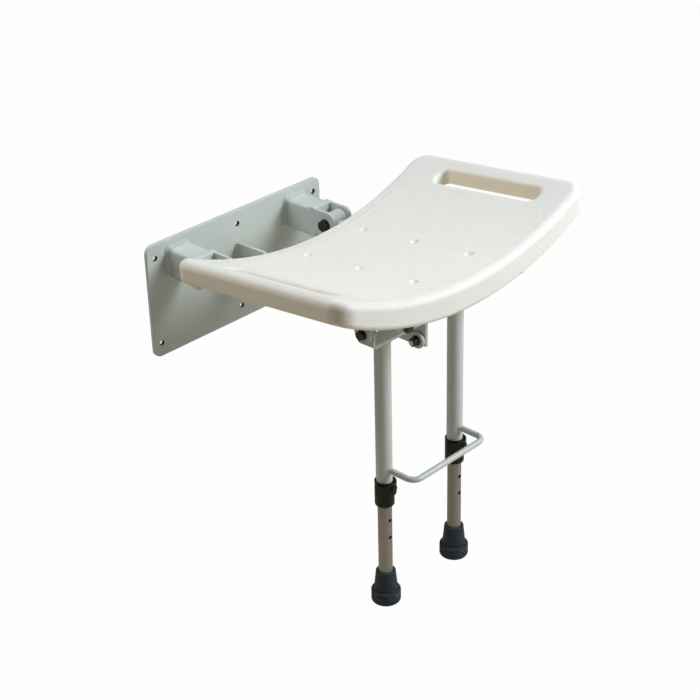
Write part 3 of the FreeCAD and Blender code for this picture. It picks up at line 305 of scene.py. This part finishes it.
dark_steel = steel("dark_steel", colour=(0.060, 0.052, 0.050, 1.0), worn_colour=(0.26, 0.24, 0.23, 1.0),
                   roughness=0.42, pitch=0.0015)
bright_steel = steel("bright_steel", colour=(0.52, 0.52, 0.53, 1.0), worn_colour=(0.72, 0.72, 0.73, 1.0),
                     roughness=0.34, pitch=0.00125)
finish_solids(dark_steel, "arm_pivot_bolts", "arm_pivot_nuts", "arm_pivot_washers", "leg_hinge_bolts",
              "leg_hinge_nuts", "leg_hinge_washers", "bracket_pivot_nut", "bracket_pivot_washers", "lug_pivot_nut",
              "lug_pivot_washers")
finish_solids(bright_steel, "bracket_pivot_bolt", "lug_pivot_bolt", "seat_screws", "left_foot_disc",
              "right_foot_disc")


# The seat board: one hollow moulding of off-white polyethylene that lets a little light into its skin. Its top
# has a raised panel with a pebbled grain and a smooth border; the grain's hollows are painted darker, as painted
# shade. The sides and the slots' walls are painted tan, as painted warm shade and glow through the plastic.

board_tone = (0.815, 0.803, 0.750, 1.0)
# The tan of the sides and slot walls is painted warm shade and glow, not a colour of the plastic.
side_warm_shade_tone = (0.93, 0.82, 0.66, 1.0)
# The darker tone in the grain's hollows is painted shade, not a colour of the plastic.
grain_hollow_shade_tone = (0.62, 0.58, 0.48, 1.0)
seat_tilt = math.radians(5.76)
seat_pivot = Vector((0.0, -0.098, 0.060))
panel_middle = -0.2375
panel_half_width = 0.201
panel_half_depth = 0.1437
panel_corner = 0.027
panel_height = 0.0007
panel_slope = 0.0012
grain_border = 0.001
grain_full = 0.006
pebble_wander = (0.004, 0.004, 0.004)
pebble_depth = 0.00042
frost_height = 0.00004
grain_dullness = 0.14
top_arc_rise = 0.6297
top_arc = 0.6060
under_top = 0.6080

board, tree, out = new_material("seat_plastic")
place = place_of(tree)
level = add(tree, "ShaderNodeMapping", {"vector_type": "POINT"}, Vector=place, Rotation=(seat_tilt, 0.0, 0.0))
own = add(tree, "ShaderNodeSeparateXYZ", Vector=level.outputs[0])
level_pivot = Matrix.Rotation(seat_tilt, 3, "X") @ seat_pivot

# The panel's outline is a rectangle with round corners, and from_line is the distance past it
beyond = []
for axis, middle, half in (("X", 0.0, panel_half_width), ("Y", level_pivot.y + panel_middle, panel_half_depth)):
    far = calc(tree, "ABSOLUTE", calc(tree, "SUBTRACT", own.outputs[axis], middle))
    beyond.append(calc(tree, "MAXIMUM", calc(tree, "SUBTRACT", far, half - panel_corner), 0.0))
from_line = calc(tree, "SUBTRACT", distance(tree, *beyond), panel_corner)

# The top is known by its distance from the middle of its arc, so its grain rides with the seat
below = calc(tree, "SUBTRACT", level_pivot.z + top_arc_rise, own.outputs["Z"])
on_top = add(tree, "ShaderNodeMapRange", Value=distance(tree, own.outputs["X"], below),
             From_Min=under_top, From_Max=top_arc)
inside = add(tree, "ShaderNodeMapRange", {"interpolation_type": "SMOOTHSTEP"}, Value=from_line,
             From_Min=panel_slope / 2, From_Max=-panel_slope / 2)
grainy = add(tree, "ShaderNodeMapRange", {"interpolation_type": "SMOOTHSTEP"}, Value=from_line,
             From_Min=-grain_border, From_Max=-grain_full)
panel = calc(tree, "MULTIPLY", inside.outputs[0], on_top.outputs[0])
grain_share = calc(tree, "MULTIPLY", grainy.outputs[0], on_top.outputs[0])

wander = add(tree, "ShaderNodeTexNoise", Vector=place, Scale=160.0, Detail=2.0)
shaken = add(tree, "ShaderNodeVectorMath", {"operation": "MULTIPLY_ADD"}, i0=wander.outputs["Color"],
             i1=pebble_wander, i2=place)
pebbles = add(tree, "ShaderNodeTexVoronoi", {"feature": "SMOOTH_F1"}, Vector=shaken.outputs[0], Scale=340.0,
              Smoothness=0.6)
pebble = calc(tree, "MULTIPLY", pebbles.outputs["Distance"], grain_share)
frost = add(tree, "ShaderNodeTexNoise", Vector=place, Scale=900.0, Detail=2.0)
stepped = calc(tree, "MULTIPLY_ADD", panel, panel_height, calc(tree, "MULTIPLY", pebble, -pebble_depth))
board_height = calc(tree, "MULTIPLY_ADD", frost.outputs["Fac"], frost_height, stepped)

moulding = place_group(tree, uneven_finish, Place=place, Colour=board_tone, Drift=0.05, Drift_Scale=6.0,
                       Roughness=0.47, Roughness_Drift=0.14)
# Painted shade: the hollows between the pebbles are darkened a little towards tan.
hollow = add(tree, "ShaderNodeMapRange", Value=pebble, From_Min=0.25, From_Max=0.75, To_Max=0.12)
grain_and_shade_colour = mixed(tree, hollow.outputs[0], moulding.outputs["Colour"], grain_hollow_shade_tone)
# Painted warm shade: faces that look along X, the board's sides and slot walls, are tinted tan.
side_warm_shade_share = add(tree, "ShaderNodeMapRange", Value=sideways(tree), From_Min=0.50, From_Max=0.85, To_Max=0.9)
board_colour = mixed(tree, side_warm_shade_share.outputs[0], grain_and_shade_colour, side_warm_shade_tone)
board_rough = calc(tree, "MULTIPLY_ADD", grain_share, grain_dullness, moulding.outputs["Roughness"])
board_shader = add(tree, "ShaderNodeBsdfPrincipled", Base_Color=board_colour, Roughness=board_rough,
                   Subsurface_Weight=0.35, Subsurface_Radius=(1.0, 0.72, 0.42), Subsurface_Scale=0.012,
                   Normal=skin(tree, board_height, 1.0))
tree.links.new(board_shader.outputs[0], out.inputs["Surface"])
finish_solids(board, "seat_board")


# The bushes and rubber: nylon bushes in the pivot bosses, dark blue end caps on the rails and blue-grey feet.
# The rubber is moulded with a fine matt grain and scuffed paler on its rims.

def moulded(name, colour, worn_colour, roughness, grain_scale, grain_depth, sheen, scuffing=0.6):
    """A moulded rubber or plastic with a grain, and with rims that are scuffed paler."""
    material, tree, out = new_material(name)
    place = place_of(tree)
    skin_tone = place_group(tree, uneven_finish, Place=place, Colour=colour, Drift=0.30, Drift_Scale=26.0,
                            Roughness=roughness, Roughness_Drift=0.16)
    rubbed = place_group(tree, worn_edges, Place=place, Radius=0.0014, Patch_Scale=110.0)
    scuffed = mixed(tree, calc(tree, "MULTIPLY", rubbed.outputs["Wear"], scuffing), skin_tone.outputs["Colour"],
                    worn_colour)
    grain = add(tree, "ShaderNodeTexNoise", Vector=place, Scale=grain_scale, Detail=3.0)
    shader = add(tree, "ShaderNodeBsdfPrincipled", Base_Color=scuffed, Sheen_Weight=sheen,
                 Specular_IOR_Level=0.25, Roughness=skin_tone.outputs["Roughness"],
                 Normal=skin(tree, grain.outputs["Fac"], grain_depth))
    tree.links.new(shader.outputs[0], out.inputs["Surface"])
    return material


bush_nylon = moulded("bush_nylon", colour=(0.70, 0.67, 0.60, 1.0), worn_colour=(0.78, 0.76, 0.70, 1.0),
                     roughness=0.40, grain_scale=700.0, grain_depth=0.00003, sheen=0.0)
cap_rubber = moulded("cap_rubber", colour=(0.036, 0.052, 0.060, 1.0), worn_colour=(0.10, 0.115, 0.14, 1.0),
                     roughness=0.55, grain_scale=1400.0, grain_depth=0.00005, sheen=0.1)
foot_rubber = moulded("foot_rubber", colour=(0.020, 0.032, 0.046, 1.0), worn_colour=(0.24, 0.28, 0.33, 1.0),
                      roughness=0.58, grain_scale=1400.0, grain_depth=0.00006, sheen=0.05)
finish_solids(bush_nylon, "left_pivot_bush", "right_pivot_bush")
finish_solids(cap_rubber, "left_rail_end_cap", "right_rail_end_cap")
finish_solids(foot_rubber, "left_foot", "right_foot")


# The collars and their spring clips: black moulded plastic, satin, with a grain finer than the rubber's.
# The collars close the upper tubes, and the clips snap round them with their pins in the height holes.

black_plastic = moulded("black_plastic", colour=(0.008, 0.008, 0.008, 1.0), worn_colour=(0.060, 0.060, 0.060, 1.0),
                        roughness=0.36, grain_scale=1800.0, grain_depth=0.00003, sheen=0.0)
finish_solids(black_plastic, "left_collar", "right_collar", "left_leg_clip", "right_leg_clip")


# The lower tubes: drawn aluminium, anodised in a warm grey. Fine draw lines run along their length, and vary
# their tone and gloss.

tube_tone = (0.325, 0.310, 0.275, 1.0)
line_stretch = 0.012
line_height = 0.000012
line_dullness = 0.12

anodised, tree, out = new_material("anodised_tube")
place = place_of(tree)
stretched = add(tree, "ShaderNodeMapping", Vector=place, Scale=(1.0, 1.0, line_stretch))
lines = add(tree, "ShaderNodeTexNoise", Vector=stretched.outputs[0], Scale=1500.0, Detail=3.0)
oxide = place_group(tree, uneven_finish, Place=place, Colour=tube_tone, Drift=0.12, Drift_Scale=20.0,
                    Roughness=0.44, Roughness_Drift=0.10)
line_tone = add(tree, "ShaderNodeMapRange", Value=lines.outputs["Fac"], From_Min=0.35, From_Max=0.65, To_Min=0.90,
                To_Max=1.06)
lined = add(tree, "ShaderNodeVectorMath", {"operation": "SCALE"}, i0=oxide.outputs["Colour"],
            Scale=line_tone.outputs[0])
line_rough = calc(tree, "MULTIPLY_ADD", lines.outputs["Fac"], line_dullness, oxide.outputs["Roughness"])
tube_shader = add(tree, "ShaderNodeBsdfPrincipled", Base_Color=lined.outputs[0], Metallic=0.6,
                  Roughness=line_rough, Normal=skin(tree, lines.outputs["Fac"], line_height))
tree.links.new(tube_shader.outputs[0], out.inputs["Surface"])
finish_solids(anodised, "left_lower_tube", "right_lower_tube")


# The weld beads: rippled fillets of weld under the paint, where rails, lugs, legs and rod are joined.
# A round bead follows the surface that its tube runs into, and a straight one tapers at both ends.

bead_sides = 10
steps_in_ripple = 4
ripple_share = 0.13
tip_share = 0.05
taper_power = 8
bead_shift = 0.0006
quarter_turn = Matrix.Rotation(math.pi / 2, 3, "X")


def place_weld(name, bm, body):
    """Makes a painted bead of weld from a finished bmesh, which rides on a body."""
    for face in bm.faces:
        face.smooth = True
    bmesh.ops.recalc_face_normals(bm, faces=bm.faces)
    mesh = bpy.data.meshes.new(name)
    bm.to_mesh(mesh)
    bm.free()
    mesh.materials.append(paint)
    piece = bpy.data.objects.new(name, mesh)
    bpy.context.scene.collection.objects.link(piece)
    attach(piece, body)


def round_bead(ring, bead, ripples, lift=None):
    """A rippled ring of weld about Z. Each point is lifted to the surface that the joined tube runs into."""
    bm = bmesh.new()
    bmesh.ops.create_circle(bm, segments=bead_sides, radius=bead)
    bmesh.ops.rotate(bm, verts=bm.verts, matrix=quarter_turn)
    bmesh.ops.translate(bm, verts=bm.verts, vec=(ring, 0.0, 0.0))
    bmesh.ops.spin(bm, geom=bm.verts[:] + bm.edges[:], axis=(0, 0, 1), cent=(0, 0, 0),
                   steps=ripples * steps_in_ripple, angle=2 * math.pi, use_merge=True)
    for vert in bm.verts:
        turn = math.atan2(vert.co.y, vert.co.x)
        middle = Vector((ring * math.cos(turn), ring * math.sin(turn), 0.0))
        swell = 1.0 + ripple_share * math.sin(ripples * turn)
        vert.co = middle + (vert.co - middle) * swell
        if lift is not None:
            vert.co.z += lift(middle)
    return bm


def straight_bead(start, end, bead, ripples):
    """A rippled line of weld between two points, drawn to a point at both ends."""
    way = Vector(end) - Vector(start)
    steps = ripples * steps_in_ripple
    step = way.length / steps
    bm = bmesh.new()
    bmesh.ops.create_circle(bm, segments=bead_sides, radius=bead, cap_ends=False)
    ring = bm.edges[:]
    for _ in range(steps):
        grown = bmesh.ops.extrude_edge_only(bm, edges=ring)["geom"]
        bmesh.ops.translate(bm, verts=[item for item in grown if isinstance(item, bmesh.types.BMVert)],
                            vec=(0.0, 0.0, step))
        ring = [item for item in grown if isinstance(item, bmesh.types.BMEdge)
                and abs(item.verts[0].co.z - item.verts[1].co.z) < step / 2]
    for vert in bm.verts:
        share = vert.co.z / way.length
        taper = math.sqrt(max(0.0, 1.0 - (2.0 * share - 1.0) ** taper_power)) * (1.0 - tip_share) + tip_share
        swell = taper * (1.0 + ripple_share * math.sin(2 * math.pi * ripples * share))
        vert.co.x *= swell
        vert.co.y *= swell
    bmesh.ops.holes_fill(bm, edges=[edge for edge in bm.edges if edge.is_boundary])
    turn = way.to_track_quat("Z", "Y").to_matrix().to_4x4()
    bmesh.ops.transform(bm, verts=bm.verts, matrix=Matrix.Translation(start) @ turn)
    return bm


left_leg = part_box("left_leg_tube")
leg_x = (left_leg[1].x + left_leg[0].x) / 2
leg_y = (left_leg[1].y + left_leg[0].y) / 2
leg_radius = (left_leg[1].x - left_leg[0].x) / 2
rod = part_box("lift_rod")
rod_z = (rod[0].z + rod[1].z) / 2
rod_radius = (rod[1].z - rod[0].z) / 2

# Places in the seat's own frame, whose origin is at the pivot
seat_turn = Matrix.Translation(seat_pivot) @ Matrix.Rotation(-seat_tilt, 4, "X")
rail_x = 0.124
rail_z = -0.00423
rail_radius = 0.0095
boss_radius = 0.017
lug_bead_x = 0.1247
lug_bead_drop = 0.0100
lug_bead_front = -0.305
lug_bead_back = -0.281

for side, word in ((-1, "left"), (1, "right")):
    bm = round_bead(leg_radius, bead=0.0019, ripples=26)
    bmesh.ops.translate(bm, verts=bm.verts, vec=(-side * leg_x, leg_y, left_leg[1].z - bead_shift))
    place_weld(f"{word}_leg_weld", bm, "legs")

    bm = round_bead(rod_radius, bead=0.0016, ripples=9,
                    lift=lambda middle: math.sqrt(leg_radius ** 2 - middle.x ** 2))
    bmesh.ops.rotate(bm, verts=bm.verts, matrix=quarter_turn)
    bmesh.ops.translate(bm, verts=bm.verts, vec=(-side * leg_x, leg_y, rod_z))
    place_weld(f"{word}_rod_weld", bm, "legs")

    bm = round_bead(rail_radius, bead=0.0017, ripples=22,
                    lift=lambda middle: math.sqrt(boss_radius ** 2 - (middle.y - rail_z) ** 2))
    bmesh.ops.rotate(bm, verts=bm.verts, matrix=quarter_turn)
    bmesh.ops.translate(bm, verts=bm.verts, vec=(side * rail_x, 0.0, rail_z))
    bmesh.ops.transform(bm, verts=bm.verts, matrix=seat_turn)
    place_weld(f"{word}_boss_weld", bm, "seat")

    bm = straight_bead((side * lug_bead_x, lug_bead_front, rail_z - lug_bead_drop),
                       (side * lug_bead_x, lug_bead_back, rail_z - lug_bead_drop), bead=0.0016, ripples=9)
    bmesh.ops.transform(bm, verts=bm.verts, matrix=seat_turn)
    place_weld(f"{word}_lug_weld", bm, "seat")

link_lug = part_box("link_lug")
link_bead_inset = 0.003
link_bead_front = link_lug[0].y + link_bead_inset
link_bead_back = link_lug[1].y - link_bead_inset
link_bead_z = link_lug[1].z - bead_shift
for word, bead_x in (("outer", link_lug[0].x - bead_shift), ("inner", link_lug[1].x + bead_shift)):
    bm = straight_bead((bead_x, link_bead_front, link_bead_z), (bead_x, link_bead_back, link_bead_z),
                       bead=0.0016, ripples=8)
    place_weld(f"{word}_link_lug_weld", bm, "legs")
